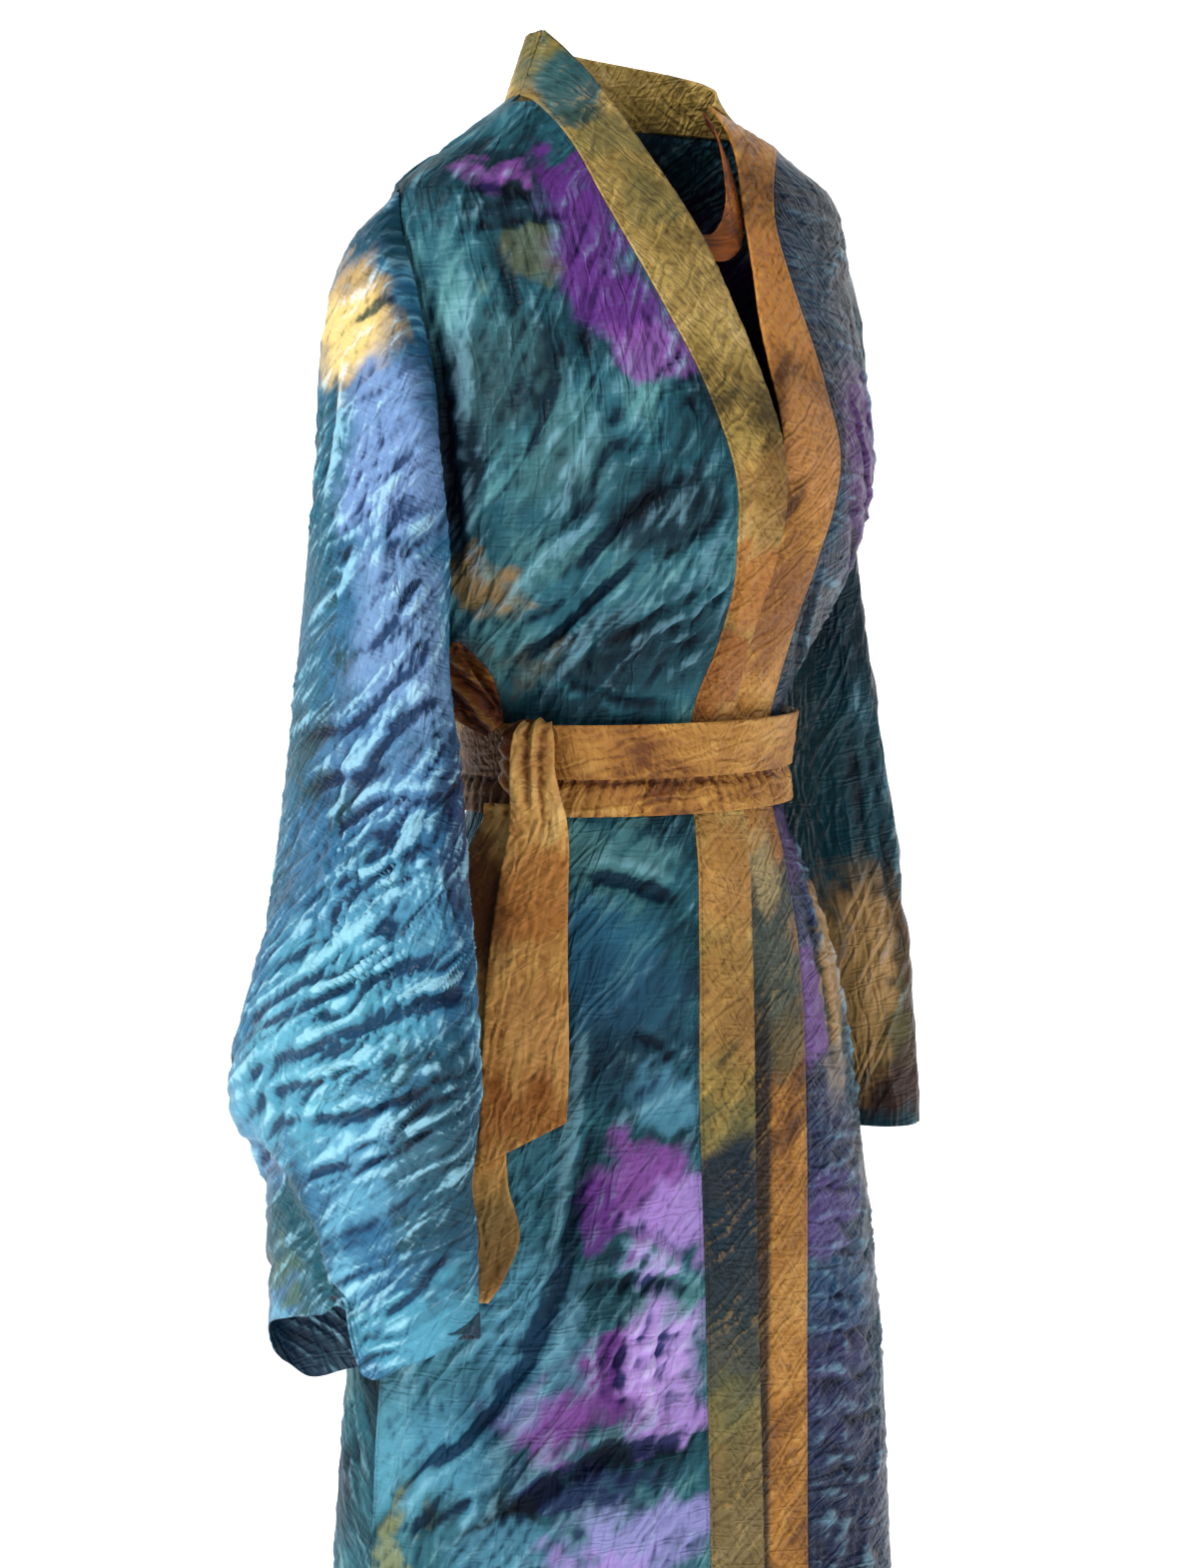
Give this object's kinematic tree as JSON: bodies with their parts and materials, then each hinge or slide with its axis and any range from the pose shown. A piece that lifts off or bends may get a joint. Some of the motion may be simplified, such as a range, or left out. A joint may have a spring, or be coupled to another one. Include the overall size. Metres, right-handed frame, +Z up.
{
  "type": "kimono duster",
  "caption": "Long open-fronted kimono robe of thin dyed silk with wide sleeves and a band down both fronts, belted and tied at the waist, hanging as on a wearer.",
  "frame": {"origin": "midway between the two neck points at the height of the shoulder seams, where a wearer's shoulders carry the robe", "axes": "+Z up, the robe's front faces -Y, +X is the wearer's left"},
  "size_m": [0.5262, 0.3084, 1.3124],
  "materials": {
    "dyed_silk": "crinkled satin, tie-dyed in teal, blue, violet and gold",
    "gold_silk": "crinkled satin, mottled ochre and rust"
  },
  "bodies": {
    "root": {"back": "dyed_silk", "front_right": "dyed_silk", "front_left": "dyed_silk", "sleeve_right": "dyed_silk", "sleeve_left": "dyed_silk", "band_right": "gold_silk", "band_left": "gold_silk", "band_neck": "gold_silk", "throat_strip": "gold_silk", "belt_under_turn": "gold_silk", "belt_over_turn": "gold_silk", "belt_knot": "gold_silk", "belt_loop": "gold_silk", "belt_tail_front": "gold_silk", "belt_tail_rear": "gold_silk"}
  },
  "joints": []
}
